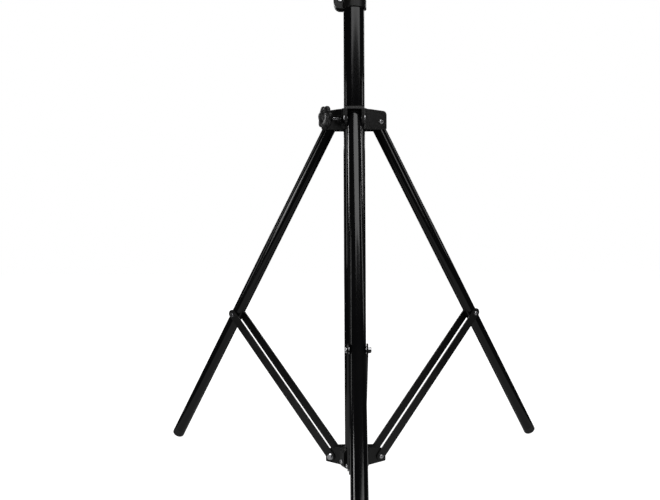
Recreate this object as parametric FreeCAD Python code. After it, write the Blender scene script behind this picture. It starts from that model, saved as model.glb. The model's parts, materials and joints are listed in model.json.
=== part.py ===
import FreeCAD, Part
import math
import os

# Crank lighting stand with three braced legs, a hand winch and a two-stage mast.
# Millimetres, +Z up. The origin is on the floor, on the column's axis.
# The front leg points along -Y. Each leg is modelled pointing along +X and then turned
# about the column to its own azimuth.

# ---- driving dimensions -------------------------------------------------------------------
AZIMUTHS = {"front": -90.0, "right": 30.0, "left": 150.0}
SCREW_AZIMUTH = -150.0        # side that every clamping screw of the stand faces

RUN = 0.1                     # radial clearance of the sliding fits
PIN = 0.05                    # radial clearance of the pivots
SIDE = 0.1                    # side clearance of parts that turn beside each other
OVER = 1.0                    # how far a cut reaches past the face it leaves

COLUMN_R = 25.0
COLUMN_WALL = 2.5
COLUMN_BOTTOM = 12.0
COLUMN_TOP = 1200.0
PLUG_FLANGE = 4.0
PLUG_DEPTH = 26.0
LOCK_HOLE_R = 4.0

LEG_R = 15.0
LEG_WALL = 1.5
LEG_SPREAD = 31.4             # degrees from vertical
LEG_PIVOT_R = 59.4            # distance of the leg pivot from the column's axis
LEG_PIVOT_Z = 802.4
LEG_ABOVE_PIVOT = 5.0         # tube left above the pivot
TOP_PLUG_DEPTH = 25.0
TOP_PLUG_DOME = 7.0
FOOT_LENGTH = 18.0
FOOT_ROUND = 4.0
FOOT_STEM = 30.0

BRACE_ON_LEG = 543.0          # from the leg pivot to the brace joint, along the leg
BRACE_PIVOT_R = 56.4
BRACE_PIVOT_Z = 28.0
BAR_WIDTH = 20.0
BAR_THICK = 3.0
BAR_TAIL = 3.0                # bar past the upper pivot before its end is rounded
STUD_GAP = 0.25               # the upper pivot's studs stop this far from the leg
BAR_OFFSET = 16.35            # inner face of a brace bar from the leg's middle plane

SPIDER_R = 31.0
SPIDER_BOTTOM = 783.0
SPIDER_TOP = 830.0
SPIDER_EAR_R = 75.0
SPIDER_EAR_INNER = 15.8
SPIDER_EAR_OUTER = 21.8
SPIDER_CEILING = 820.0
SPIDER_TOP_SLOPE = 2.0
SPIDER_EAR_LIFT = 3.0         # rise of an ear's lower edge to its end
SPIDER_ROUND = 9.0
SPIDER_FOOT_ROUND = 3.0
SPIDER_BOSS_R = 40.0
BOSS_RADIUS = 10.0            # round bosses of every clamping screw

COLLAR_R = 30.0
COLLAR_BOTTOM = 12.5
COLLAR_TOP = 53.0
COLLAR_EAR_INNER = 12.5
COLLAR_EAR_OUTER = 16.0
COLLAR_EAR_R = 71.0
COLLAR_SHOULDER_R = 60.0      # where an ear's upper edge turns down
COLLAR_SHOULDER_Z = 46.0
COLLAR_EAR_TOP = 39.0
COLLAR_EDGE = 2.0
COLLAR_BOSS_R = 37.0
COLLAR_BOSS_HALF = 9.0
COLLAR_BOSS_BEVEL = 6.0
COLLAR_SCREW_Z = 27.0

M6 = 3.0
HEAD_R = 5.2
HEAD_H = 3.6
NUT_FLATS = 11.0
NUT_H = 6.0
WASHER_R = 7.0
WASHER_H = 1.2
RIVET_R = 5.3
RIVET_H = 2.7

KNOB_R = 28.0
KNOB_THICK = 11.0
KNOB_HUB_R = 10.5
KNOB_HUB_LENGTH = 10.0
KNOB_SEAT = 6.0                # how far the screw reaches into the disc
KNOB_LOBES = 7
SCALLOP_R = 6.0
SCALLOP_OUT = 2.2             # scallop centres outside the knob's rim

CASTING_R = 29.5
CASTING_BOTTOM = 1060.0
LUG_X = -30.0
LUG_Z = 1077.0
LUG_HALF_WIDTH = 16.0
LUG_HALF_HEIGHT = 19.0
LUG_ROUND = 15.5
SPOT_FACE_R = 8.0
LUG_INNER = 3.0
LUG_OUTER = 15.0
SLIT_HALF = 1.5
SLOT_START_Y = 10.0

DRUM_Z = 1145.0
DRUM_CABLE_R = 22.0
DRUM_FLANGE_R = 27.0
CHEEK_IN = 19.0
CHEEK_OUT = 24.0
CHEEK_R = 29.0
SHAFT_R = 6.0
SHAFT_SLEEVE_R = 9.0
SHAFT_TAIL = 11.0             # shaft past the brake-side cheek
DRUM_SIDE = 0.5
FLANGE_THICK = 3.0
COVER_SHEET = 2.0
COVER_LIP = 14.0
BRAKE_CAP_R = 23.0
BRAKE_CAP_WALL = 3.0
BRAKE_CAP_LENGTH = 15.0
BRAKE_CAP_ROUND = 4.0
LINING_R = 19.5
LINING_THICK = 3.0
DISC_R = 18.5
DISC_THICK = 5.0
CRANK_RADIUS = 105.0
CRANK_X = 44.0
CRANK_THICK = 6.0
CRANK_ROOT_R = 13.0
CRANK_TIP_R = 9.0
CRANK_NUT_FLATS = 17.0
CRANK_NUT_R = 7.5
CRANK_NUT_H = 7.0
GRIP_BOLT_R = 4.0
GRIP_HEAD_R = 6.5
GRIP_HEAD_H = 3.0
GRIP_LENGTH = 90.0
GRIP_R = 13.0
GRIP_END_R = 10.0
GRIP_SIDE = 0.5

CABLE_R = 1.0
CABLE_Y = 20.7                # the cable's lane between the mast and the column wall
PULLEY_Z = 1190.0
PULLEY_CABLE_R = 12.0
PULLEY_HALF = 3.5
PULLEY_RIM = 0.9
PULLEY_SLOT = 4.5             # half width of the slot the pulley turns in
PULLEY_CHEEK = 4.0
PULLEY_CHEEK_OUT = 16.0       # cheek past the pulley's axis, and below it
PULLEY_PIN_HEAD_R = 4.5
PULLEY_PIN_HEAD_H = 1.5
CABLE_WINDOW = 20.0           # slot in the column below the pulley's axis

MAST_R = 19.0
MAST_WALL = 2.0
MAST_BOTTOM = 45.0
MAST_TOP = 1265.0
MAST_FOOT = 30.0
BUSH_DEPTH = 40.0
BUSH_FLANGE_R = 28.0
BUSH_FLANGE = 9.0
MAST_CLAMP_R = 25.0
MAST_CLAMP_DEPTH = 45.0
MAST_CLAMP_RISE = 25.0
TOP_R = 16.0
TOP_WALL = 2.0
TOP_BOTTOM = 90.0
TOP_TOP = 1340.0
SOCKET_R = 21.0
SOCKET_TOP = 1403.0
SOCKET_BORE = 14.4
SOCKET_DEPTH = 22.0
SOCKET_FLOOR = 4.0
TOP_FOOT = 40.0

# clamping screws: height of each, and how far out its boss ends
SPIDER_KNOB_Z = 805.0
SPIDER_HUB_R = 61.0
LOCK_Z = 1128.0
LOCK_BOSS_R = 44.0
CLAMP_Z = MAST_TOP + 12.0
CLAMP_BOSS_R = 33.0
SOCKET_SCREW_Z = SOCKET_TOP - 22.0
SOCKET_BOSS_R = 29.0
KNOB_STANDOFF = 5.0           # bare screw between a boss and its knob

ORIGIN = FreeCAD.Vector(0, 0, 0)
UP = FreeCAD.Vector(0, 0, 1)
ALONG_X = FreeCAD.Vector(1, 0, 0)
ALONG_Y = FreeCAD.Vector(0, 1, 0)

# ---- derived places -----------------------------------------------------------------------
SPREAD = math.radians(LEG_SPREAD)
FOOT_FLAT = LEG_R - FOOT_ROUND
LEG_LENGTH = (LEG_PIVOT_Z - FOOT_FLAT * math.sin(SPREAD) - FOOT_ROUND) / math.cos(SPREAD) + FOOT_ROUND
JOINT_X = LEG_PIVOT_R + BRACE_ON_LEG * math.sin(SPREAD)
JOINT_Z = LEG_PIVOT_Z - BRACE_ON_LEG * math.cos(SPREAD)
BRACE_LENGTH = math.hypot(JOINT_X - BRACE_PIVOT_R, JOINT_Z - BRACE_PIVOT_Z)
BRACE_TILT = math.degrees(math.atan2(JOINT_X - BRACE_PIVOT_R, JOINT_Z - BRACE_PIVOT_Z))
BAR_OUT = BAR_OFFSET + BAR_THICK
PULLEY_Y = CABLE_Y + PULLEY_CABLE_R
DRUM_Y = PULLEY_Y + PULLEY_CABLE_R + DRUM_CABLE_R
COLUMN_BORE = COLUMN_R - COLUMN_WALL
# each knob: height, start of its hub and tip of its screw
KNOBS = {
    "spider_knob": (SPIDER_KNOB_Z, SPIDER_HUB_R, COLUMN_R + SIDE),
    "mast_lock_knob": (LOCK_Z, LOCK_BOSS_R + KNOB_STANDOFF, MAST_R + SIDE),
    "mast_clamp_knob": (CLAMP_Z, CLAMP_BOSS_R + KNOB_STANDOFF, TOP_R + SIDE),
    "socket_knob": (SOCKET_SCREW_Z, SOCKET_BOSS_R + KNOB_STANDOFF, SOCKET_BORE + SIDE),
}


# ---- helpers ------------------------------------------------------------------------------
def vec(x, y, z):
    return FreeCAD.Vector(x, y, z)


def rod(radius, start, axis, length):
    """A round bar from start along axis."""
    return Part.makeCylinder(radius, length, start, axis)


def ring(outer, inner, start, axis, length):
    """A tube, cut right through."""
    return rod(outer, start, axis, length).cut(rod(inner, start, axis, length))


def block(x0, x1, y0, y1, z0, z1):
    return Part.makeBox(x1 - x0, y1 - y0, z1 - z0, vec(x0, y0, z0))


def slab_xz(points, y0, y1):
    """A flat plate: an outline in the XZ plane, thick along Y."""
    corners = [vec(x, y0, z) for x, z in points]
    face = Part.Face(Part.makePolygon(corners + corners[:1]))
    return face.extrude(vec(0, y1 - y0, 0))


def slab_yz(points, x0, x1):
    """A flat plate: an outline in the YZ plane, thick along X."""
    corners = [vec(x0, y, z) for y, z in points]
    face = Part.Face(Part.makePolygon(corners + corners[:1]))
    return face.extrude(vec(x1 - x0, 0, 0))


def turned(shape, azimuth):
    """The shape turned about the column's axis."""
    copy = shape.copy()
    copy.rotate(ORIGIN, UP, azimuth)
    return copy


def tilted(shape, x, z, degrees):
    """The shape turned about the Y axis through (x, z)."""
    copy = shape.copy()
    copy.rotate(vec(x, 0, z), ALONG_Y, degrees)
    return copy


def edges_at(shape, test):
    return [edge for edge in shape.Edges if test(edge)]


def along(edge, axis):
    """True for a straight edge parallel to the axis."""
    if edge.Curve.TypeId != "Part::GeomLine":
        return False
    return abs(edge.tangentAt(edge.FirstParameter).dot(axis)) > 0.999


def rounded(solid, radius, test):
    """The solid with the edges that pass the test rounded."""
    return solid.makeFillet(radius, edges_at(solid, test))


def end_rounded(solid, radius, z):
    """A round bar along Z with the rim of its end at height z rounded."""
    return rounded(solid, radius, lambda e: abs(e.CenterOfMass.z - z) < 1e-6 and e.Closed)


def hexagon(flats, start, axis, length):
    """A six-sided bar from start along axis."""
    corner = flats / math.sqrt(3.0)
    points = [vec(corner * math.cos(math.radians(60 * k)), corner * math.sin(math.radians(60 * k)), 0)
              for k in range(6)]
    prism = Part.Face(Part.makePolygon(points + points[:1])).extrude(vec(0, 0, length))
    prism.Placement = FreeCAD.Placement(start, FreeCAD.Rotation(UP, axis))
    return prism


def button_head(start, axis, radius=HEAD_R, height=HEAD_H):
    """A domed screw head standing on start, with a hexagon socket."""
    head = Part.makeCylinder(radius, height)
    head = end_rounded(head, height * 0.6, height)
    head = head.cut(hexagon(radius * 0.7, vec(0, 0, height * 0.5), UP, height))
    head.Placement = FreeCAD.Placement(start, FreeCAD.Rotation(UP, axis))
    return head


def lock_nut(start, axis):
    """A hexagon nut with its plain collar, standing on start."""
    nut = hexagon(NUT_FLATS, vec(0, 0, 0), UP, NUT_H * 0.75)
    nut = nut.fuse(Part.makeCylinder(NUT_FLATS * 0.42, NUT_H))
    nut = nut.cut(Part.makeCylinder(M6 + PIN, NUT_H))
    nut.Placement = FreeCAD.Placement(start, FreeCAD.Rotation(UP, axis))
    return nut


def cross_bolt(x, z, half):
    """A screw along Y whose head stands on the -Y side and whose end fills the nut on the other."""
    shank = rod(M6, vec(x, -half, z), ALONG_Y, 2 * half + WASHER_H + NUT_H)
    return shank.fuse(button_head(vec(x, -half, z), vec(0, -1, 0)))


def rivet_pin(x, z, half):
    """A pin along Y with one low domed head, on the -Y side."""
    pin = rod(M6, vec(x, -half, z), ALONG_Y, 2 * half)
    return pin.fuse(button_head(vec(x, -half, z), vec(0, -1, 0), RIVET_R, RIVET_H))


def rivet_cap(x, z, half):
    """The other domed head of a rivet pin, standing on its end."""
    cap = end_rounded(Part.makeCylinder(RIVET_R, RIVET_H), RIVET_H * 0.6, RIVET_H)
    cap.Placement = FreeCAD.Placement(vec(x, half, z), FreeCAD.Rotation(UP, ALONG_Y))
    return cap


def cross_nut(x, z, half):
    """The washer and the nut of a cross bolt."""
    washer = ring(WASHER_R, M6 + PIN, vec(x, half, z), ALONG_Y, WASHER_H)
    return Part.makeCompound([washer, lock_nut(vec(x, half + WASHER_H, z), ALONG_Y)])


def lobed_knob(radius, z):
    """A lobed hand knob on a radial screw along +X: the hub starts at radius."""
    scallop_at = KNOB_R + SCALLOP_OUT
    disc_start = radius + KNOB_HUB_LENGTH
    knob = rod(KNOB_R, vec(disc_start, 0, z), ALONG_X, KNOB_THICK)
    for k in range(KNOB_LOBES):
        angle = 2 * math.pi * (k + 0.5) / KNOB_LOBES
        centre = vec(disc_start, scallop_at * math.cos(angle), z + scallop_at * math.sin(angle))
        knob = knob.cut(rod(SCALLOP_R, centre, ALONG_X, KNOB_THICK))
    knob = knob.fuse(rod(KNOB_HUB_R, vec(radius, 0, z), ALONG_X, KNOB_HUB_LENGTH))
    return knob.cut(rod(M6 + PIN, vec(radius, 0, z), ALONG_X, KNOB_HUB_LENGTH + KNOB_SEAT))


def knob_screw(tip, radius, z):
    """The knob's screw, from its tip to its seat in the hub."""
    return rod(M6, vec(tip, 0, z), ALONG_X, radius + KNOB_HUB_LENGTH + KNOB_SEAT - tip)


# ---- column -------------------------------------------------------------------------------
def column_tube():
    tube = ring(COLUMN_R, COLUMN_BORE, vec(0, 0, COLUMN_BOTTOM), UP, COLUMN_TOP - COLUMN_BOTTOM)
    window = block(-PULLEY_SLOT, PULLEY_SLOT, 0, COLUMN_R + OVER, PULLEY_Z - CABLE_WINDOW, COLUMN_TOP + OVER)
    lock_hole = rod(LOCK_HOLE_R, vec(COLUMN_BORE - OVER, 0, LOCK_Z), ALONG_X, COLUMN_WALL + 2 * OVER)
    return tube.cut(window).cut(turned(lock_hole, SCREW_AZIMUTH))


def column_end_plug():
    bottom = COLUMN_BOTTOM - PLUG_FLANGE
    flange = end_rounded(rod(COLUMN_R, vec(0, 0, bottom), UP, PLUG_FLANGE), 1.5, bottom)
    return flange.fuse(rod(COLUMN_BORE, vec(0, 0, COLUMN_BOTTOM), UP, PLUG_DEPTH))


def brace_collar():
    """The fixed lower collar: a sleeve, three forked ears and the boss of its screw."""
    collar = rod(COLLAR_R, vec(0, 0, COLLAR_BOTTOM), UP, COLLAR_TOP - COLLAR_BOTTOM)
    outline = [
        (0, COLLAR_BOTTOM), (COLLAR_R, COLLAR_BOTTOM), (COLLAR_EAR_R, COLLAR_BOTTOM + COLLAR_EDGE),
        (COLLAR_EAR_R, COLLAR_EAR_TOP), (COLLAR_SHOULDER_R, COLLAR_SHOULDER_Z),
        (COLLAR_R, COLLAR_TOP - COLLAR_EDGE), (0, COLLAR_TOP - COLLAR_EDGE),
    ]
    ear = slab_xz(outline, -COLLAR_EAR_OUTER, COLLAR_EAR_OUTER)
    ear = rounded(ear, COLLAR_EDGE, lambda e: along(e, ALONG_Y) and e.CenterOfMass.x > COLLAR_EAR_R - OVER)
    ear = ear.cut(block(COLLAR_R, COLLAR_EAR_R + OVER, -COLLAR_EAR_INNER, COLLAR_EAR_INNER, 0, COLLAR_TOP))
    pivot_start = vec(BRACE_PIVOT_R, -COLLAR_EAR_OUTER, BRACE_PIVOT_Z)
    pivot_hole = rod(M6, pivot_start, ALONG_Y, 2 * COLLAR_EAR_OUTER)
    ear = ear.cut(pivot_hole)
    for azimuth in AZIMUTHS.values():
        collar = collar.fuse(turned(ear, azimuth))
    bevel_r = COLLAR_R + COLLAR_EDGE
    boss_outline = [
        (0, COLLAR_BOTTOM), (bevel_r, COLLAR_BOTTOM), (COLLAR_BOSS_R, COLLAR_BOTTOM + COLLAR_BOSS_BEVEL),
        (COLLAR_BOSS_R, COLLAR_TOP - COLLAR_BOSS_BEVEL), (bevel_r, COLLAR_TOP), (0, COLLAR_TOP),
    ]
    boss = slab_xz(boss_outline, -COLLAR_BOSS_HALF, COLLAR_BOSS_HALF)
    collar = collar.fuse(turned(boss, SCREW_AZIMUTH))
    collar = collar.cut(rod(COLUMN_R, vec(0, 0, 0), UP, COLLAR_TOP + OVER))
    screw_hole = rod(M6, vec(COLUMN_R - OVER, 0, COLLAR_SCREW_Z), ALONG_X,
                     COLLAR_BOSS_R - COLUMN_R + 2 * OVER)
    return collar.cut(turned(screw_hole, SCREW_AZIMUTH)).removeSplitter()


def brace_collar_screw():
    shank = rod(M6, vec(COLUMN_R, 0, COLLAR_SCREW_Z), ALONG_X, COLLAR_BOSS_R - COLUMN_R)
    head = button_head(vec(COLLAR_BOSS_R, 0, COLLAR_SCREW_Z), ALONG_X)
    return turned(shank.fuse(head), SCREW_AZIMUTH)


# ---- leg spider ---------------------------------------------------------------------------
def spider_ear():
    """One forked bracket: two cheeks under a roof, open below and outwards."""
    foot_z = SPIDER_BOTTOM + SPIDER_EAR_LIFT
    outline = [
        (0, SPIDER_BOTTOM), (SPIDER_R, SPIDER_BOTTOM), (SPIDER_EAR_R, foot_z),
        (SPIDER_EAR_R, SPIDER_TOP - SPIDER_TOP_SLOPE), (SPIDER_R, SPIDER_TOP), (0, SPIDER_TOP),
    ]
    ear = slab_xz(outline, -SPIDER_EAR_OUTER, SPIDER_EAR_OUTER)
    middle_z = (SPIDER_BOTTOM + SPIDER_TOP) / 2
    outer_r = SPIDER_EAR_R - OVER
    ends = edges_at(ear, lambda e: along(e, ALONG_Y) and e.CenterOfMass.x > outer_r)
    ear = ear.makeFillet(SPIDER_ROUND, [edge for edge in ends if edge.CenterOfMass.z > middle_z])
    ends = edges_at(ear, lambda e: along(e, ALONG_Y) and e.CenterOfMass.x > outer_r)
    ear = ear.makeFillet(SPIDER_FOOT_ROUND, [edge for edge in ends if edge.CenterOfMass.z < foot_z + OVER])
    channel = block(SPIDER_R, SPIDER_EAR_R + OVER, -SPIDER_EAR_INNER, SPIDER_EAR_INNER,
                    SPIDER_BOTTOM - OVER, SPIDER_CEILING)
    return ear.cut(channel)


def leg_spider():
    """The sliding upper collar that carries the three leg pivots and the clamping screw."""
    height = SPIDER_TOP - SPIDER_BOTTOM
    body = rod(SPIDER_R, vec(0, 0, SPIDER_BOTTOM), UP, height)
    pivot = rod(M6, vec(LEG_PIVOT_R, -SPIDER_EAR_OUTER - OVER, LEG_PIVOT_Z), ALONG_Y,
                2 * (SPIDER_EAR_OUTER + OVER))
    for azimuth in AZIMUTHS.values():
        body = body.fuse(turned(spider_ear().cut(pivot), azimuth))
    boss = rod(BOSS_RADIUS, vec(0, 0, SPIDER_KNOB_Z), ALONG_X, SPIDER_BOSS_R)
    body = body.fuse(turned(boss, SCREW_AZIMUTH))
    body = body.cut(rod(COLUMN_R + RUN, vec(0, 0, SPIDER_BOTTOM - OVER), UP, height + 2 * OVER))
    screw_hole = rod(M6 + PIN, vec(COLUMN_R - OVER, 0, SPIDER_KNOB_Z), ALONG_X, SPIDER_BOSS_R)
    return body.cut(turned(screw_hole, SCREW_AZIMUTH)).removeSplitter()


# ---- legs, modelled hanging straight down from the pivot and then tilted out ----------------
def leg_parts():
    """Tube, top plug and foot of one leg, pointing along +X when tilted."""
    x, z = LEG_PIVOT_R, LEG_PIVOT_Z
    tube_end = z - LEG_LENGTH + FOOT_LENGTH
    bore = LEG_R - LEG_WALL
    pivot = rod(M6 + PIN, vec(x, -LEG_R - OVER, z), ALONG_Y, 2 * (LEG_R + OVER))
    tube = ring(LEG_R, bore, vec(x, 0, tube_end), UP, z + LEG_ABOVE_PIVOT - tube_end).cut(pivot)
    plug = rod(bore, vec(x, 0, z - TOP_PLUG_DEPTH), UP, TOP_PLUG_DEPTH + LEG_ABOVE_PIVOT)
    dome = rod(LEG_R, vec(x, 0, z + LEG_ABOVE_PIVOT), UP, TOP_PLUG_DOME)
    dome = end_rounded(dome, TOP_PLUG_DOME - 0.5, z + LEG_ABOVE_PIVOT + TOP_PLUG_DOME)
    plug = plug.fuse(dome).cut(pivot).removeSplitter()
    foot = rod(LEG_R, vec(x, 0, z - LEG_LENGTH), UP, FOOT_LENGTH)
    foot = end_rounded(foot, FOOT_ROUND, z - LEG_LENGTH)
    foot = foot.fuse(rod(bore, vec(x, 0, tube_end), UP, FOOT_STEM)).removeSplitter()
    return {
        "leg_tube": tilted(tube, x, z, -LEG_SPREAD),
        "leg_top_plug": tilted(plug, x, z, -LEG_SPREAD),
        "leg_foot": tilted(foot, x, z, -LEG_SPREAD),
    }


def brace_parts():
    """The two flat bars of one brace, and the studs of its upper joint."""
    x, z = BRACE_PIVOT_R, BRACE_PIVOT_Z
    end = z + BRACE_LENGTH
    half = BAR_WIDTH / 2
    bars = []
    studs = []
    for side in (-1, 1):
        y_low = min(side * BAR_OFFSET, side * BAR_OUT)
        outward = vec(0, side, 0)
        bar = block(x - half, x + half, y_low, y_low + BAR_THICK, z, end + BAR_TAIL)
        for height in (z, end + BAR_TAIL):
            bar = bar.fuse(rod(half, vec(x, y_low, height), ALONG_Y, BAR_THICK))
        bar = bar.cut(rod(M6 + PIN, vec(x, y_low, z), ALONG_Y, BAR_THICK))
        bar = bar.cut(rod(M6, vec(x, y_low, end), ALONG_Y, BAR_THICK))
        bars.append(bar.removeSplitter())
        inner = LEG_R + STUD_GAP
        stud = rod(M6, vec(x, side * inner, end), outward, BAR_OUT - inner)
        stud = stud.fuse(rod(WASHER_R, vec(x, side * inner, end), outward, BAR_OFFSET - inner))
        if side < 0:
            stud = stud.fuse(button_head(vec(x, side * BAR_OUT, end), outward))
        else:
            stud = stud.fuse(rod(M6, vec(x, side * BAR_OUT, end), outward, NUT_H))
            studs.append(lock_nut(vec(x, side * BAR_OUT, end), outward))
        studs.append(stud)
    return {
        "brace_bars": tilted(Part.makeCompound(bars), x, z, BRACE_TILT),
        "brace_joint": tilted(Part.makeCompound(studs), x, z, BRACE_TILT),
    }


# ---- winch --------------------------------------------------------------------------------
def drum_cheeks():
    """The two plates that carry the winch's shaft."""
    plates = []
    for side in (-1, 1):
        x_low = min(side * CHEEK_IN, side * CHEEK_OUT)
        x_high = x_low + CHEEK_OUT - CHEEK_IN
        plate = slab_yz([(0, DRUM_Z - CHEEK_R), (DRUM_Y, DRUM_Z - CHEEK_R),
                         (DRUM_Y, DRUM_Z + CHEEK_R), (0, DRUM_Z + CHEEK_R)], x_low, x_high)
        plates.append(plate.fuse(rod(CHEEK_R, vec(x_low, DRUM_Y, DRUM_Z), ALONG_X, x_high - x_low)))
    return plates


def pulley_cheeks():
    """The two plates that carry the pulley's pin."""
    low_z = PULLEY_Z - PULLEY_CHEEK_OUT
    end_y = PULLEY_Y + PULLEY_CHEEK_OUT
    plates = []
    for side in (-1, 1):
        x_low = min(side * PULLEY_SLOT, side * (PULLEY_SLOT + PULLEY_CHEEK))
        plates.append(slab_yz([(0, low_z), (end_y - 8, low_z), (end_y, low_z + 10),
                               (end_y, COLUMN_TOP), (0, COLUMN_TOP)], x_low, x_low + PULLEY_CHEEK))
    return plates


def winch_casting():
    """The split casting at the column's top: sleeve, clamp lugs, winch cheeks, pulley cheeks."""
    lug_x = LUG_X - LUG_HALF_WIDTH
    lug_low = LUG_Z - LUG_HALF_HEIGHT
    lug_high = LUG_Z + LUG_HALF_HEIGHT
    lug = block(lug_x, 0, -LUG_OUTER, LUG_OUTER, lug_low, lug_high)
    lug = rounded(lug, LUG_ROUND, lambda e: along(e, ALONG_Y) and e.CenterOfMass.x < LUG_X)
    lug = lug.cut(block(lug_x - OVER, -CASTING_R, -LUG_INNER, LUG_INNER, lug_low - OVER, lug_high + OVER))
    boss = turned(rod(BOSS_RADIUS, vec(0, 0, LOCK_Z), ALONG_X, LOCK_BOSS_R), SCREW_AZIMUTH)
    body = rod(CASTING_R, vec(0, 0, CASTING_BOTTOM), UP, COLUMN_TOP - CASTING_BOTTOM)
    for shape in [lug, boss] + drum_cheeks() + pulley_cheeks():
        body = body.fuse(shape)
    body = body.cut(rod(COLUMN_R, vec(0, 0, lug_low - OVER), UP, COLUMN_TOP + 2 * OVER - lug_low))
    body = body.cut(block(-PULLEY_SLOT, PULLEY_SLOT, SLOT_START_Y, 2 * PULLEY_Y,
                          PULLEY_Z - CABLE_WINDOW, COLUMN_TOP + OVER))
    body = body.cut(block(lug_x, -MAST_R, -SLIT_HALF, SLIT_HALF, lug_low - OVER, lug_high))
    body = body.cut(rod(M6, vec(LUG_X, -CASTING_R, LUG_Z), ALONG_Y, 2 * CASTING_R))
    for side in (-1, 1):
        body = body.cut(rod(SPOT_FACE_R, vec(LUG_X, side * LUG_OUTER, LUG_Z), vec(0, side, 0), LUG_OUTER))
    body = body.cut(rod(SHAFT_R + PIN, vec(-CHEEK_OUT - OVER, DRUM_Y, DRUM_Z), ALONG_X,
                        2 * (CHEEK_OUT + OVER)))
    body = body.cut(rod(M6, vec(-CHEEK_IN, PULLEY_Y, PULLEY_Z), ALONG_X, 2 * CHEEK_IN))
    screw_hole = rod(M6 + PIN, vec(COLUMN_R - OVER, 0, LOCK_Z), ALONG_X, LOCK_BOSS_R)
    return body.cut(turned(screw_hole, SCREW_AZIMUTH)).removeSplitter()


def clamp_bolt():
    return cross_bolt(LUG_X, LUG_Z, LUG_OUTER)


def clamp_nut():
    return cross_nut(LUG_X, LUG_Z, LUG_OUTER)


def winch_cover():
    """A rolled sheet over the back of the drum, between the cheeks' outer faces."""
    outer = CHEEK_R + COVER_SHEET
    cover = ring(outer, CHEEK_R, vec(-CHEEK_OUT, DRUM_Y, DRUM_Z), ALONG_X, 2 * CHEEK_OUT)
    cover = cover.cut(block(-CHEEK_OUT, CHEEK_OUT, DRUM_Y - outer, DRUM_Y, DRUM_Z - outer, DRUM_Z + outer))
    for z_low in (DRUM_Z - outer, DRUM_Z + CHEEK_R):
        lip = block(-CHEEK_OUT, CHEEK_OUT, DRUM_Y - COVER_LIP, DRUM_Y, z_low, z_low + COVER_SHEET)
        cover = cover.fuse(lip)
    return cover.removeSplitter()


def brake_cover():
    """The round cap over the friction brake on the left cheek."""
    end_x = -CHEEK_OUT - BRAKE_CAP_LENGTH
    cap = rod(BRAKE_CAP_R, vec(end_x, DRUM_Y, DRUM_Z), ALONG_X, BRAKE_CAP_LENGTH)
    cap = rounded(cap, BRAKE_CAP_ROUND, lambda e: e.Closed and e.CenterOfMass.x < end_x + OVER)
    hollow = rod(BRAKE_CAP_R - BRAKE_CAP_WALL, vec(end_x + BRAKE_CAP_WALL, DRUM_Y, DRUM_Z), ALONG_X,
                 BRAKE_CAP_LENGTH - BRAKE_CAP_WALL)
    return cap.cut(hollow)


def brake_lining():
    return ring(LINING_R, SHAFT_R + 1, vec(-CHEEK_OUT, DRUM_Y, DRUM_Z), vec(-1, 0, 0), LINING_THICK)


def brake_disc():
    start = vec(-CHEEK_OUT - LINING_THICK - SIDE, DRUM_Y, DRUM_Z)
    return ring(DISC_R, SHAFT_R, start, vec(-1, 0, 0), DISC_THICK)


def winch_shaft():
    tail_x = -CHEEK_OUT - SHAFT_TAIL
    shaft = rod(SHAFT_R, vec(tail_x, DRUM_Y, DRUM_Z), ALONG_X, CRANK_X + CRANK_THICK - tail_x)
    sleeve_x = CHEEK_OUT + SIDE
    sleeve = ring(SHAFT_SLEEVE_R, SHAFT_R - 1, vec(sleeve_x, DRUM_Y, DRUM_Z), ALONG_X, CRANK_X - sleeve_x)
    return shaft.fuse(sleeve)


def cable_drum():
    half = CHEEK_IN - DRUM_SIDE
    drum = rod(DRUM_CABLE_R - CABLE_R, vec(-half, DRUM_Y, DRUM_Z), ALONG_X, 2 * half)
    for x_low in (-half, half - FLANGE_THICK):
        drum = drum.fuse(rod(DRUM_FLANGE_R, vec(x_low, DRUM_Y, DRUM_Z), ALONG_X, FLANGE_THICK))
    return drum.cut(rod(SHAFT_R, vec(-half, DRUM_Y, DRUM_Z), ALONG_X, 2 * half)).removeSplitter()


def cable_winding():
    half = CHEEK_IN - DRUM_SIDE - FLANGE_THICK
    return ring(DRUM_CABLE_R + CABLE_R, DRUM_CABLE_R - CABLE_R, vec(-half, DRUM_Y, DRUM_Z), ALONG_X, 2 * half)


def crank_arm():
    """The flat arm of the crank, pointing up at rest."""
    tip_z = DRUM_Z + CRANK_RADIUS
    root = rod(CRANK_ROOT_R, vec(CRANK_X, DRUM_Y, DRUM_Z), ALONG_X, CRANK_THICK)
    tip = rod(CRANK_TIP_R, vec(CRANK_X, DRUM_Y, tip_z), ALONG_X, CRANK_THICK)
    root_half = CRANK_ROOT_R - 3
    tip_half = CRANK_TIP_R - 1
    bar = slab_yz([(DRUM_Y - root_half, DRUM_Z), (DRUM_Y + root_half, DRUM_Z),
                   (DRUM_Y + tip_half, tip_z), (DRUM_Y - tip_half, tip_z)], CRANK_X, CRANK_X + CRANK_THICK)
    arm = root.fuse(tip).fuse(bar)
    arm = arm.cut(rod(SHAFT_R, vec(CRANK_X, DRUM_Y, DRUM_Z), ALONG_X, CRANK_THICK))
    arm = arm.cut(rod(GRIP_BOLT_R, vec(CRANK_X, DRUM_Y, tip_z), ALONG_X, CRANK_THICK))
    return arm.removeSplitter()


def crank_nut():
    start = vec(CRANK_X + CRANK_THICK, DRUM_Y, DRUM_Z)
    cap = hexagon(CRANK_NUT_FLATS, start, ALONG_X, CRANK_NUT_H)
    return cap.fuse(rod(CRANK_NUT_R, start, ALONG_X, CRANK_NUT_H + 2)).removeSplitter()


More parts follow.
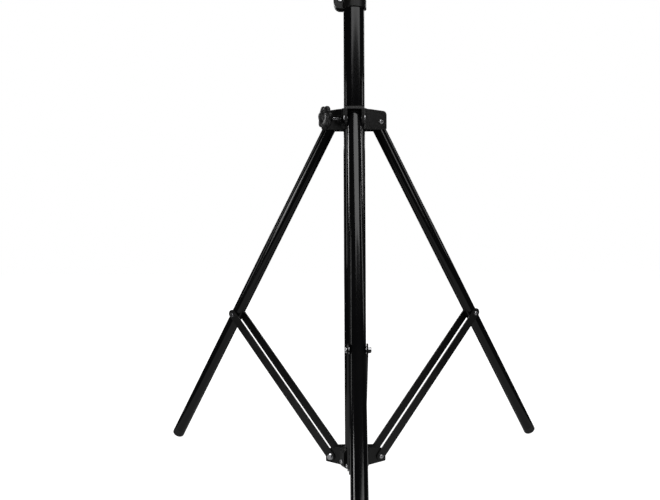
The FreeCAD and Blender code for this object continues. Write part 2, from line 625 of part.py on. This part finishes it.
def grip_bolt():
    start = vec(CRANK_X, DRUM_Y, DRUM_Z + CRANK_RADIUS)
    length = CRANK_THICK + GRIP_LENGTH + 2 * GRIP_SIDE
    head = rod(GRIP_HEAD_R, vec(CRANK_X + length, start.y, start.z), ALONG_X, GRIP_HEAD_H)
    return rod(GRIP_BOLT_R, start, ALONG_X, length).fuse(head)


def crank_grip():
    """The barrel-shaped handle, turned about its bolt."""
    x0 = CRANK_X + CRANK_THICK + GRIP_SIDE
    x1 = x0 + GRIP_LENGTH
    bore = GRIP_BOLT_R + PIN
    barrel = Part.Arc(vec(x0, GRIP_END_R, 0), vec((x0 + x1) / 2, GRIP_R, 0), vec(x1, GRIP_END_R, 0)).toShape()
    outline = Part.Wire([
        Part.makeLine(vec(x0, bore, 0), vec(x0, GRIP_END_R, 0)),
        barrel,
        Part.makeLine(vec(x1, GRIP_END_R, 0), vec(x1, bore, 0)),
        Part.makeLine(vec(x1, bore, 0), vec(x0, bore, 0)),
    ])
    grip = Part.Face(outline).revolve(ORIGIN, ALONG_X, 360)
    grip.translate(vec(0, DRUM_Y, DRUM_Z + CRANK_RADIUS))
    return grip


def cable_pulley():
    start = vec(-PULLEY_HALF, PULLEY_Y, PULLEY_Z)
    wheel = rod(PULLEY_CABLE_R + PULLEY_RIM, start, ALONG_X, 2 * PULLEY_HALF)
    groove_half = CABLE_R + PIN
    groove = Part.makeTorus(PULLEY_CABLE_R, groove_half, vec(0, PULLEY_Y, PULLEY_Z), ALONG_X)
    open_side = ring(PULLEY_CABLE_R + 2 * PULLEY_RIM, PULLEY_CABLE_R,
                     vec(-groove_half, PULLEY_Y, PULLEY_Z), ALONG_X, 2 * groove_half)
    wheel = wheel.cut(groove).cut(open_side)
    return wheel.cut(rod(M6 + PIN, start, ALONG_X, 2 * PULLEY_HALF))


def pulley_pin():
    half = PULLEY_SLOT + PULLEY_CHEEK
    pin = rod(M6, vec(-half, PULLEY_Y, PULLEY_Z), ALONG_X, 2 * half)
    for side in (-1, 1):
        start = vec(side * half, PULLEY_Y, PULLEY_Z)
        pin = pin.fuse(rod(PULLEY_PIN_HEAD_R, start, vec(side, 0, 0), PULLEY_PIN_HEAD_H))
    return pin


def cable_inner_run():
    """The cable inside the column, from the mast's foot to the pulley."""
    bottom = MAST_BOTTOM + MAST_FOOT
    return rod(CABLE_R, vec(0, CABLE_Y, bottom), UP, PULLEY_Z - bottom)


def cable_outer_run():
    """The cable over the pulley and down to the drum."""
    bend = Part.makeTorus(PULLEY_CABLE_R, CABLE_R, vec(0, PULLEY_Y, PULLEY_Z), ALONG_X)
    top = PULLEY_Z + PULLEY_CABLE_R + 2 * CABLE_R
    bend = bend.common(block(-2 * CABLE_R, 2 * CABLE_R, 0, 2 * PULLEY_Y, PULLEY_Z, top))
    bottom = DRUM_Z + 10
    drop = rod(CABLE_R, vec(0, PULLEY_Y + PULLEY_CABLE_R, bottom), UP, PULLEY_Z - bottom)
    return bend.fuse(drop).removeSplitter()


# ---- mast ---------------------------------------------------------------------------------
def top_guide_bush():
    """The nylon bush in the column's mouth, notched for the pulley."""
    bottom = COLUMN_TOP - BUSH_DEPTH
    top = COLUMN_TOP + BUSH_FLANGE
    flange = end_rounded(rod(BUSH_FLANGE_R, vec(0, 0, COLUMN_TOP), UP, BUSH_FLANGE), 3.0, top)
    bush = rod(COLUMN_BORE - RUN, vec(0, 0, bottom), UP, BUSH_DEPTH).fuse(flange)
    bush = bush.cut(rod(MAST_R + RUN, vec(0, 0, bottom - OVER), UP, top - bottom + 2 * OVER))
    notch = block(-PULLEY_SLOT, PULLEY_SLOT, SLOT_START_Y, BUSH_FLANGE_R + OVER, bottom - OVER, top - 3)
    return bush.cut(notch).removeSplitter()


def mast_tube():
    return ring(MAST_R, MAST_R - MAST_WALL, vec(0, 0, MAST_BOTTOM), UP, MAST_TOP - MAST_BOTTOM)


def mast_foot_guide():
    return ring(COLUMN_BORE - RUN, MAST_R, vec(0, 0, MAST_BOTTOM), UP, MAST_FOOT)


def mast_clamp():
    """The casting on the mast's top that clamps the upper tube."""
    bottom = MAST_TOP - MAST_CLAMP_DEPTH
    top = MAST_TOP + MAST_CLAMP_RISE
    clamp = end_rounded(rod(MAST_CLAMP_R, vec(0, 0, bottom), UP, top - bottom), 3.0, top)
    boss = rod(BOSS_RADIUS, vec(0, 0, CLAMP_Z), ALONG_X, CLAMP_BOSS_R)
    clamp = clamp.fuse(turned(boss, SCREW_AZIMUTH))
    clamp = clamp.cut(rod(MAST_R, vec(0, 0, bottom), UP, MAST_CLAMP_DEPTH))
    clamp = clamp.cut(rod(TOP_R + RUN, vec(0, 0, MAST_TOP), UP, MAST_CLAMP_RISE))
    hole = rod(M6 + PIN, vec(TOP_R, 0, CLAMP_Z), ALONG_X, CLAMP_BOSS_R)
    return clamp.cut(turned(hole, SCREW_AZIMUTH)).removeSplitter()


def upper_tube():
    return ring(TOP_R, TOP_R - TOP_WALL, vec(0, 0, TOP_BOTTOM), UP, TOP_TOP - TOP_BOTTOM)


def upper_foot_guide():
    return ring(MAST_R - MAST_WALL - RUN, TOP_R, vec(0, 0, TOP_BOTTOM), UP, TOP_FOOT)


def lamp_socket():
    """The top fitting: a blind socket for a lamp's stud, with a clamping screw."""
    bottom = TOP_TOP - SOCKET_DEPTH
    socket = end_rounded(rod(SOCKET_R, vec(0, 0, bottom), UP, SOCKET_TOP - bottom), 2.0, SOCKET_TOP)
    boss = rod(BOSS_RADIUS, vec(0, 0, SOCKET_SCREW_Z), ALONG_X, SOCKET_BOSS_R)
    socket = socket.fuse(turned(boss, SCREW_AZIMUTH))
    socket = socket.cut(rod(TOP_R, vec(0, 0, bottom), UP, SOCKET_DEPTH))
    socket = socket.cut(rod(SOCKET_BORE, vec(0, 0, TOP_TOP + SOCKET_FLOOR), UP, SOCKET_TOP))
    hole = rod(M6 + PIN, vec(SOCKET_BORE - OVER, 0, SOCKET_SCREW_Z), ALONG_X, SOCKET_BOSS_R)
    return socket.cut(turned(hole, SCREW_AZIMUTH)).removeSplitter()


def all_nodes():
    """Every node's name and shape."""
    nodes = {
        "column_tube": column_tube(),
        "column_end_plug": column_end_plug(),
        "brace_collar": brace_collar(),
        "brace_collar_screw": brace_collar_screw(),
        "leg_spider": leg_spider(),
        "winch_casting": winch_casting(),
        "clamp_bolt": clamp_bolt(),
        "clamp_nut": clamp_nut(),
        "winch_cover": winch_cover(),
        "brake_cover": brake_cover(),
        "brake_lining": brake_lining(),
        "brake_disc": brake_disc(),
        "winch_shaft": winch_shaft(),
        "cable_drum": cable_drum(),
        "cable_winding": cable_winding(),
        "crank_arm": crank_arm(),
        "crank_nut": crank_nut(),
        "grip_bolt": grip_bolt(),
        "crank_grip": crank_grip(),
        "cable_pulley": cable_pulley(),
        "pulley_pin": pulley_pin(),
        "cable_inner_run": cable_inner_run(),
        "cable_outer_run": cable_outer_run(),
        "top_guide_bush": top_guide_bush(),
        "mast_tube": mast_tube(),
        "mast_foot_guide": mast_foot_guide(),
        "mast_clamp": mast_clamp(),
        "upper_tube": upper_tube(),
        "upper_foot_guide": upper_foot_guide(),
        "lamp_socket": lamp_socket(),
    }
    for name, (height, hub, tip) in KNOBS.items():
        nodes[name] = turned(lobed_knob(hub, height), SCREW_AZIMUTH)
        nodes[name + "_screw"] = turned(knob_screw(tip, hub, height), SCREW_AZIMUTH)
    groups = {
        "leg_pivot_pins": rivet_pin(LEG_PIVOT_R, LEG_PIVOT_Z, SPIDER_EAR_OUTER),
        "leg_pivot_caps": rivet_cap(LEG_PIVOT_R, LEG_PIVOT_Z, SPIDER_EAR_OUTER),
        "brace_pivot_bolts": cross_bolt(BRACE_PIVOT_R, BRACE_PIVOT_Z, BAR_OUT + SIDE),
        "brace_pivot_nuts": cross_nut(BRACE_PIVOT_R, BRACE_PIVOT_Z, BAR_OUT + SIDE),
    }
    for name, shape in groups.items():
        nodes[name] = Part.makeCompound([turned(shape, azimuth) for azimuth in AZIMUTHS.values()])
    for side, azimuth in AZIMUTHS.items():
        for parts in (leg_parts(), brace_parts()):
            for name, shape in parts.items():
                nodes[name + "_" + side] = turned(shape, azimuth)
    return nodes


os.makedirs("parts", exist_ok=True)
for node_name, node_shape in all_nodes().items():
    if not node_shape.isValid():
        print("not valid:", node_name)
    node_shape.exportStep("parts/" + node_name + ".step")
print("leg length", round(LEG_LENGTH, 3), "brace length", round(BRACE_LENGTH, 3),
      "brace tilt", round(BRACE_TILT, 4), "drum y", DRUM_Y)
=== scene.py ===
import bpy
import bmesh
import json
import math
from mathutils import Matrix, Vector


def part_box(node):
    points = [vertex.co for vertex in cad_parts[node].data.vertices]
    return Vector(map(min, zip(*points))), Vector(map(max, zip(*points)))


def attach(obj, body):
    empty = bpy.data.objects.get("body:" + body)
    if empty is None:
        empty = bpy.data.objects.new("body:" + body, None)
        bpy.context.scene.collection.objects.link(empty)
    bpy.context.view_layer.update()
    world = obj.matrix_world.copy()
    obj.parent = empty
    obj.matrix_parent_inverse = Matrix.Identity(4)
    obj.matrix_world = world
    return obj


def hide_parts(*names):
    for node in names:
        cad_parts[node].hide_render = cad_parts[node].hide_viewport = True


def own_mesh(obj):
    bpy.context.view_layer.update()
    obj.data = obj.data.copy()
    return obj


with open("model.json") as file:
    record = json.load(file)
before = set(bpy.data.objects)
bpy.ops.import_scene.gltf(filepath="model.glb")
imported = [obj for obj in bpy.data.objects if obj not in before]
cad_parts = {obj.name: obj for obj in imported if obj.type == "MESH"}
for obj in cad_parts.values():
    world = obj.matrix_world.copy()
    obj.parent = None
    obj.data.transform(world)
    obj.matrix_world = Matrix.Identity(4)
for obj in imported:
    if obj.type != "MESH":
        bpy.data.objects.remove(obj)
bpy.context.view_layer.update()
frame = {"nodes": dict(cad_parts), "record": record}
NODES = frame["nodes"]

SCREW_AZIMUTH = -150.0        # side that the clamping screws face
KNOBS = ("spider_knob", "mast_lock_knob", "mast_clamp_knob", "socket_knob")

# lobed knob, in metres
KNOB_LOBES = 7
POINTS_PER_LOBE = 16
KNOB_HUB_R = 0.0105
KNOB_HUB_LEN = 0.010
KNOB_RIM_R = 0.0265
KNOB_THICK = 0.011
LOBE_SWELL = 0.0015           # how far a lobe stands out
LOBE_PINCH = 0.0012           # how much deeper the notch between two lobes is

# cable, in metres
CABLE_R = 0.001
WINDING_GAP = 1.1             # cable radii between a drum cheek and the first turn
TURN_STEPS = 40
TURN_SIDES = 8
RUN_STEPS = 16
RUN_SIDES = 12

# edges
SHARP_ANGLE = math.radians(32)
BEVEL_ANGLE = math.radians(40)
BEVEL_SEGMENTS = 2
SOFT_EDGE = {"cast_black": 0.0009, "bar_black": 0.0004, "zinc": 0.0003, "black_plastic": 0.0005}

# the part of a noise value's range that drives a material
NOISE_LOW = 0.3
NOISE_HIGH = 0.7

# studio
FLOOR_HALF = 6.0
FLOOR_TONE = 0.5
FLOOR_GLOW = 1.0
FLOOR_ROUGHNESS = 0.9
ROOM_SEEN = 1.0               # the room as the camera sees it
ROOM_LIGHT = 0.02             # the room as the surfaces feel it
# name, place, aim, width, height, power
SOFT_BOXES = (
    ("overhead", (0.75, -0.95, 2.9), (0.59, -0.2, 0.65), 2.7, 0.85, 18.5),
    ("front_right", (1.7, -4.7, 3.0), (0.0, 0.0, 1.0), 10.0, 1.2, 74.0),
    ("floor_bounce", (0.0, -0.1, 0.002), (0.0, -0.1, 1.0), 1.4, 0.9, 1.0),
    ("low_left", (-1.1, -0.64, 0.52), (0.0, -0.45, 0.17), 0.2, 0.25, 1.3),
    ("strip_left", (-1.1, -0.97, 0.38), (0.0, -0.2, 0.38), 0.3, 0.55, 1.6),
    ("strip_right", (0.95, -1.22, 0.45), (0.0, -0.2, 0.45), 0.3, 0.7, 1.5),
    ("rim_left", (-1.1, 0.05, 0.75), (0.0, 0.0, 0.6), 0.12, 0.7, 0.5),
    ("rim_right", (0.8, 0.12, 0.8), (0.0, 0.0, 0.6), 0.12, 0.5, 0.35),
    ("back_left", (-1.7, 3.2, 1.9), (0.0, 0.0, 0.7), 2.0, 1.6, 32.0),
    ("back_right", (1.7, 3.2, 1.9), (0.0, 0.0, 0.7), 1.0, 1.6, 16.0),
)

# camera
CAMERA_DISTANCE = 1.6261
CAMERA_HEIGHT = 0.5745
CAMERA_SWING = 0.012
CAMERA_ROLL = 0.005
SENSOR_WIDTH = 36.0
LENS = 38.56
SHIFT_X = -0.03735
SHIFT_Y = -0.04485


# ---- materials ----------------------------------------------------------------------------
def add_node(tree, kind, **values):
    """A node with its sockets or settings filled in."""
    node = tree.nodes.new(kind)
    for key, value in values.items():
        if key in node.inputs:
            node.inputs[key].default_value = value
        else:
            setattr(node, key, value)
    return node


def base_material(name, color, metallic, roughness):
    """A material with its Principled shader and object-space coordinates."""
    material = bpy.data.materials.new(name)
    material.use_nodes = True
    tree = material.node_tree
    shader = tree.nodes["Principled BSDF"]
    shader.inputs["Base Color"].default_value = (*color, 1.0)
    shader.inputs["Metallic"].default_value = metallic
    shader.inputs["Roughness"].default_value = roughness
    coords = add_node(tree, "ShaderNodeTexCoord")
    return material, tree, shader, coords


def noise(tree, coords, scale, detail=3.0, stretch=(1.0, 1.0, 1.0)):
    """Fractal noise over object coordinates."""
    mapping = add_node(tree, "ShaderNodeMapping", Scale=stretch)
    texture = add_node(tree, "ShaderNodeTexNoise", Scale=scale, Detail=detail)
    tree.links.new(coords.outputs["Object"], mapping.inputs["Vector"])
    tree.links.new(mapping.outputs["Vector"], texture.inputs["Vector"])
    return texture.outputs["Fac"]


def vary_roughness(tree, shader, value, low, high):
    """Roughness that follows the noise value between two levels."""
    ramp = add_node(tree, "ShaderNodeMapRange")
    ramp.inputs["From Min"].default_value = NOISE_LOW
    ramp.inputs["From Max"].default_value = NOISE_HIGH
    ramp.inputs["To Min"].default_value = low
    ramp.inputs["To Max"].default_value = high
    tree.links.new(value, ramp.inputs["Value"])
    tree.links.new(ramp.outputs["Result"], shader.inputs["Roughness"])


def vary_color(tree, shader, value, dark, light):
    """Colour that follows the noise value between two tones."""
    ramp = add_node(tree, "ShaderNodeValToRGB")
    ramp.color_ramp.elements[0].position = NOISE_LOW
    ramp.color_ramp.elements[1].position = NOISE_HIGH
    ramp.color_ramp.elements[0].color = (*dark, 1.0)
    ramp.color_ramp.elements[1].color = (*light, 1.0)
    tree.links.new(value, ramp.inputs["Fac"])
    tree.links.new(ramp.outputs["Color"], shader.inputs["Base Color"])


def bump(tree, shader, value, strength, distance):
    """Surface relief that follows the noise value."""
    node = add_node(tree, "ShaderNodeBump", Strength=strength, Distance=distance)
    tree.links.new(value, node.inputs["Height"])
    tree.links.new(node.outputs["Normal"], shader.inputs["Normal"])


def gloss_paint():
    """Black stoved paint on the tubes: deep gloss with a faint orange peel."""
    material, tree, shader, coords = base_material(
        "gloss_black_paint", (0.004, 0.004, 0.0045), 0.0, 0.2)
    cloud = noise(tree, coords, 9.0, 4.0)
    peel = noise(tree, coords, 420.0, 2.0)
    vary_color(tree, shader, cloud, (0.003, 0.003, 0.0035), (0.006, 0.006, 0.0065))
    vary_roughness(tree, shader, cloud, 0.10, 0.15)
    bump(tree, shader, peel, 0.012, 0.0003)
    return material


def cast_paint():
    """Satin black paint over a casting: fine grain and slight wear in tone."""
    material, tree, shader, coords = base_material(
        "satin_black_casting", (0.006, 0.006, 0.006), 0.0, 0.36)
    grain = noise(tree, coords, 420.0, 3.0)
    cloud = noise(tree, coords, 30.0, 4.0)
    vary_color(tree, shader, cloud, (0.004, 0.004, 0.004), (0.009, 0.009, 0.0087))
    vary_roughness(tree, shader, cloud, 0.30, 0.42)
    bump(tree, shader, grain, 0.35, 0.0005)
    return material


def bar_paint():
    """Thin black paint on rolled flat bar."""
    material, tree, shader, coords = base_material(
        "black_flat_bar", (0.009, 0.009, 0.009), 0.0, 0.36)
    grain = noise(tree, coords, 380.0, 3.0)
    cloud = noise(tree, coords, 24.0, 4.0)
    vary_color(tree, shader, cloud, (0.006, 0.006, 0.006), (0.013, 0.013, 0.0125))
    vary_roughness(tree, shader, cloud, 0.30, 0.42)
    bump(tree, shader, grain, 0.3, 0.0004)
    return material


def zinc_plate():
    """Bright zinc on the screws and nuts."""
    material, tree, shader, coords = base_material("bright_zinc", (0.78, 0.78, 0.8), 1.0, 0.2)
    cloud = noise(tree, coords, 260.0, 4.0)
    vary_color(tree, shader, cloud, (0.62, 0.62, 0.64), (0.86, 0.86, 0.87))
    vary_roughness(tree, shader, cloud, 0.14, 0.28)
    return material


def turned_steel():
    """Plain machined steel: fine circumferential marks in the roughness."""
    material, tree, shader, coords = base_material("turned_steel", (0.5, 0.5, 0.51), 1.0, 0.32)
    marks = noise(tree, coords, 700.0, 2.0, (1.0, 0.15, 0.15))
    vary_color(tree, shader, marks, (0.42, 0.42, 0.43), (0.58, 0.58, 0.59))
    vary_roughness(tree, shader, marks, 0.26, 0.42)
    return material


def black_plastic():
    """Moulded black plastic of the knobs, plugs and feet."""
    material, tree, shader, coords = base_material(
        "moulded_black_plastic", (0.011, 0.011, 0.0115), 0.0, 0.4)
    grain = noise(tree, coords, 1400.0, 2.0)
    cloud = noise(tree, coords, 40.0, 3.0)
    vary_color(tree, shader, cloud, (0.009, 0.009, 0.0095), (0.016, 0.016, 0.0165))
    vary_roughness(tree, shader, cloud, 0.35, 0.48)
    bump(tree, shader, grain, 0.12, 0.0002)
    return material


def pale_nylon():
    """Off-white nylon of the guide bushes."""
    material, tree, shader, coords = base_material("pale_nylon", (0.55, 0.54, 0.5), 0.0, 0.5)
    cloud = noise(tree, coords, 60.0, 3.0)
    vary_color(tree, shader, cloud, (0.5, 0.49, 0.45), (0.6, 0.59, 0.55))
    vary_roughness(tree, shader, cloud, 0.42, 0.58)
    return material


def brake_fibre():
    """Woven brown friction lining."""
    material, tree, shader, coords = base_material(
        "friction_fibre", (0.12, 0.09, 0.07), 0.0, 0.85)
    weave = noise(tree, coords, 500.0, 4.0)
    vary_color(tree, shader, weave, (0.07, 0.05, 0.04), (0.18, 0.14, 0.11))
    bump(tree, shader, weave, 0.4, 0.0005)
    return material


PAINT = {
    "gloss_black": gloss_paint(),
    "cast_black": cast_paint(),
    "bar_black": bar_paint(),
    "zinc": zinc_plate(),
    "steel": turned_steel(),
    "black_plastic": black_plastic(),
    "nylon": pale_nylon(),
    "lining": brake_fibre(),
}


def dress_cad_nodes():
    """Every CAD node takes the material of its slot, smooth faces and softened edges."""
    for part in frame["record"]["subparts"]:
        node = NODES[part["node"]]
        slot_name = part["material_slot"]
        node.data.materials.clear()
        node.data.materials.append(PAINT[slot_name])
        node.data.shade_smooth()
        node.data.set_sharp_from_angle(angle=SHARP_ANGLE)
        if slot_name in SOFT_EDGE:
            bevel = node.modifiers.new("soft_edges", "BEVEL")
            bevel.width = SOFT_EDGE[slot_name]
            bevel.segments = BEVEL_SEGMENTS
            bevel.limit_method = "ANGLE"
            bevel.angle_limit = BEVEL_ANGLE
            bevel.harden_normals = True


# ---- pieces -------------------------------------------------------------------------------
def mesh_of_rings(name, rings):
    """A closed skin over rings of points, each ring the same number of points."""
    bm = bmesh.new()
    rings = [[bm.verts.new(point) for point in ring] for ring in rings]
    for low, high in zip(rings, rings[1:]):
        for k in range(len(low)):
            n = (k + 1) % len(low)
            bm.faces.new((low[k], low[n], high[n], high[k]))
    bm.faces.new(list(reversed(rings[0])))
    bm.faces.new(rings[-1])
    bmesh.ops.recalc_face_normals(bm, faces=bm.faces)
    mesh = bpy.data.meshes.new(name)
    bm.to_mesh(mesh)
    bm.free()
    return mesh


def finish_piece(name, mesh, body, slot_name, replaced):
    """Puts a mesh in the scene, riding on its body, in place of a CAD node."""
    piece = bpy.data.objects.new(name, mesh)
    bpy.context.scene.collection.objects.link(piece)
    mesh.materials.append(PAINT[slot_name])
    mesh.shade_smooth()
    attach(piece, body)
    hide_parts(replaced)
    return piece


def lobed_knob_mesh(name):
    """A moulded lobed knob, its hub's foot at the origin and its cap along +Z."""
    rim = KNOB_HUB_LEN
    cap = KNOB_HUB_LEN + KNOB_THICK
    # height, radius and how strongly the lobes show at each ring of the profile
    profile = [
        (0.0000, 0.0034, 0.0),
        (0.0000, KNOB_HUB_R - 0.001, 0.0),
        (0.0008, KNOB_HUB_R, 0.0),
        (rim - 0.002, KNOB_HUB_R, 0.0),
        (rim - 0.0004, KNOB_HUB_R + 0.001, 0.0),
        (rim, KNOB_HUB_R + 0.004, 0.25),
        (rim + 0.0002, KNOB_RIM_R - 0.0035, 0.85),
        (rim + 0.0009, KNOB_RIM_R - 0.0011, 1.0),
        (rim + 0.0028, KNOB_RIM_R, 1.0),
        (cap - 0.0045, KNOB_RIM_R, 1.0),
        (cap - 0.002, KNOB_RIM_R - 0.0012, 1.0),
        (cap - 0.0005, KNOB_RIM_R - 0.004, 0.85),
        (cap, KNOB_RIM_R - 0.0085, 0.35),
        (cap - 0.0003, 0.0105, 0.0),
        (cap - 0.0012, 0.0095, 0.0),
        (cap - 0.0008, 0.005, 0.0),
    ]
    around = KNOB_LOBES * POINTS_PER_LOBE
    rings = []
    for height, radius, lobed in profile:
        ring = []
        for k in range(around):
            angle = 2 * math.pi * k / around
            swell = LOBE_SWELL * lobed * math.cos(KNOB_LOBES * angle)
            pinch = LOBE_PINCH * lobed * (1 - abs(math.cos(KNOB_LOBES * angle / 2))) ** 2
            r = radius + swell - pinch
            ring.append((r * math.cos(angle), r * math.sin(angle), height))
        rings.append(ring)
    return mesh_of_rings(name, rings)


def hand_knobs():
    """The moulded knobs, in place of their plain CAD discs."""
    azimuth = math.radians(SCREW_AZIMUTH)
    outward = Vector((math.cos(azimuth), math.sin(azimuth), 0.0))
    turn = Vector((0, 0, 1)).rotation_difference(outward).to_matrix().to_4x4()
    for node in KNOBS:
        low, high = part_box(node)
        reach = max(v.co.dot(outward) for v in NODES[node].data.vertices)
        start = outward * (reach - KNOB_HUB_LEN - KNOB_THICK)
        start.z = (low.z + high.z) / 2
        mesh = lobed_knob_mesh(node + "_moulded")
        mesh.transform(Matrix.Translation(start) @ turn)
        finish_piece(node + "_moulded", mesh, node, "black_plastic", node)


def cable_turns():
    """The cable's visible turns on the drum, as one helix of real cable diameter."""
    low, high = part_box("cable_winding")
    centre_y = (low.y + high.y) / 2
    centre_z = (low.z + high.z) / 2
    radius = (high.z - low.z) / 2 - CABLE_R
    turns = int((high.x - low.x) / (2 * CABLE_R)) - 1
    span = high.x - low.x - 2 * WINDING_GAP * CABLE_R
    rings = []
    for k in range(turns * TURN_STEPS + 1):
        angle = 2 * math.pi * k / TURN_STEPS
        out = Vector((0, math.cos(angle), math.sin(angle)))
        x = low.x + WINDING_GAP * CABLE_R + span * k / (turns * TURN_STEPS)
        middle = Vector((x, centre_y, centre_z)) + radius * out
        ring = []
        for s in range(TURN_SIDES):
            turn = 2 * math.pi * s / TURN_SIDES
            side = math.cos(turn) * out + math.sin(turn) * Vector((1, 0, 0))
            ring.append(middle + CABLE_R * side)
        rings.append(ring)
    mesh = mesh_of_rings("cable_turns", rings)
    finish_piece("cable_turns", mesh, "winch", "steel", "cable_winding")


def cable_run():
    """The cable inside the column, which on the real stand shortens as the mast rises; here it is a
    fixed round run.
    """
    low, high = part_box("cable_inner_run")
    centre_x = (low.x + high.x) / 2
    centre_y = (low.y + high.y) / 2
    radius = (high.x - low.x) / 2
    length = high.z - low.z
    rings = []
    for k in range(RUN_STEPS + 1):
        z = low.z + length * k / RUN_STEPS
        ring = []
        for s in range(RUN_SIDES):
            turn = 2 * math.pi * s / RUN_SIDES
            ring.append((centre_x + radius * math.cos(turn), centre_y + radius * math.sin(turn), z))
        rings.append(ring)
    mesh = mesh_of_rings("cable_run", rings)
    run = finish_piece("cable_run", mesh, "stand", "steel", "cable_inner_run")
    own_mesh(run)


# ---- studio -------------------------------------------------------------------------------
def plain_floor():
    """A pale floor, lit evenly, that isn't mirrored in the paint."""
    bm = bmesh.new()
    corners = ((-1, -1), (1, -1), (1, 1), (-1, 1))
    bm.faces.new([bm.verts.new((x * FLOOR_HALF, y * FLOOR_HALF, 0.0)) for x, y in corners])
    mesh = bpy.data.meshes.new("floor")
    bm.to_mesh(mesh)
    bm.free()
    floor = bpy.data.objects.new("floor", mesh)
    bpy.context.scene.collection.objects.link(floor)
    tone = (FLOOR_TONE, FLOOR_TONE, FLOOR_TONE)
    material, tree, shader, coords = base_material("pale_floor", tone, 0.0, FLOOR_ROUGHNESS)
    shader.inputs["Emission Color"].default_value = (1.0, 1.0, 1.0, 1.0)
    shader.inputs["Emission Strength"].default_value = FLOOR_GLOW
    mesh.materials.append(material)
    floor.visible_glossy = False
    floor.visible_diffuse = False


def studio_world():
    """A white room to the camera and a dimmer one to the surfaces."""
    world = bpy.data.worlds.new("studio")
    bpy.context.scene.world = world
    world.use_nodes = True
    tree = world.node_tree
    tree.nodes.clear()
    white = (1.0, 1.0, 1.0, 1.0)
    out = add_node(tree, "ShaderNodeOutputWorld")
    seen = add_node(tree, "ShaderNodeBackground", Color=white, Strength=ROOM_SEEN)
    felt = add_node(tree, "ShaderNodeBackground", Color=white, Strength=ROOM_LIGHT)
    mix = add_node(tree, "ShaderNodeMixShader")
    path = add_node(tree, "ShaderNodeLightPath")
    tree.links.new(path.outputs["Is Camera Ray"], mix.inputs["Fac"])
    tree.links.new(felt.outputs["Background"], mix.inputs[1])
    tree.links.new(seen.outputs["Background"], mix.inputs[2])
    tree.links.new(mix.outputs["Shader"], out.inputs["Surface"])


def soft_box(name, place, aim, width, height, power):
    """A rectangular studio light aimed at a point."""
    light = bpy.data.lights.new(name, "AREA")
    light.shape = "RECTANGLE"
    light.size = width
    light.size_y = height
    light.energy = power
    lamp = bpy.data.objects.new(name, light)
    bpy.context.scene.collection.objects.link(lamp)
    aimed = (Vector(aim) - Vector(place)).to_track_quat("-Z", "Y").to_matrix().to_4x4()
    lamp.matrix_world = Matrix.Translation(place) @ aimed
    lamp.visible_camera = False


def photo_camera():
    """The camera stands before the front leg, level, a little to the left."""
    camera = bpy.data.cameras.new("camera")
    camera.sensor_width = SENSOR_WIDTH
    camera.lens = LENS
    camera.shift_x = SHIFT_X
    camera.shift_y = SHIFT_Y
    holder = bpy.data.objects.new("camera", camera)
    bpy.context.scene.collection.objects.link(holder)
    place = Vector((-CAMERA_DISTANCE * math.sin(CAMERA_SWING),
                    -CAMERA_DISTANCE * math.cos(CAMERA_SWING),
                    CAMERA_HEIGHT))
    upright = Matrix.Rotation(-CAMERA_SWING, 4, "Z") @ Matrix.Rotation(math.pi / 2, 4, "X")
    turn = upright @ Matrix.Rotation(-CAMERA_ROLL, 4, "Z")
    holder.matrix_world = Matrix.Translation(place) @ turn
    bpy.context.scene.camera = holder


dress_cad_nodes()
hand_knobs()
cable_turns()
cable_run()
plain_floor()
studio_world()
for box in SOFT_BOXES:
    soft_box(*box)
photo_camera()
bpy.context.scene.view_settings.view_transform = "Standard"
